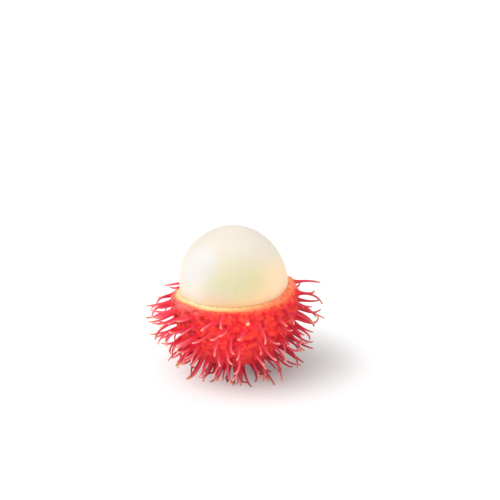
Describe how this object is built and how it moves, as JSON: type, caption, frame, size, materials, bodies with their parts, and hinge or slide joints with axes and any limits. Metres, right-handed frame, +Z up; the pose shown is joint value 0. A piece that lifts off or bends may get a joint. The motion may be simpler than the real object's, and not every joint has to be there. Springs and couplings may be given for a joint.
{
  "type": "rambutan",
  "caption": "Half-peeled rambutan: a cup of red rind with soft curved spines, holding a pale egg-shaped body of peeled flesh.",
  "frame": {"origin": "on the surface that the fruit stands on, under the middle of its box", "axes": "+Z up through the top of the flesh; -Y towards the side where the spines hang; +X to the right, seen from there"},
  "size_m": [0.0584, 0.0552, 0.0505],
  "materials": {
    "rind": "satin, pitted between the spines, with a pale torn rim",
    "flesh": "smooth, moist and translucent"
  },
  "bodies": {
    "root": {"rind": "rind", "flesh": "flesh"}
  },
  "joints": []
}
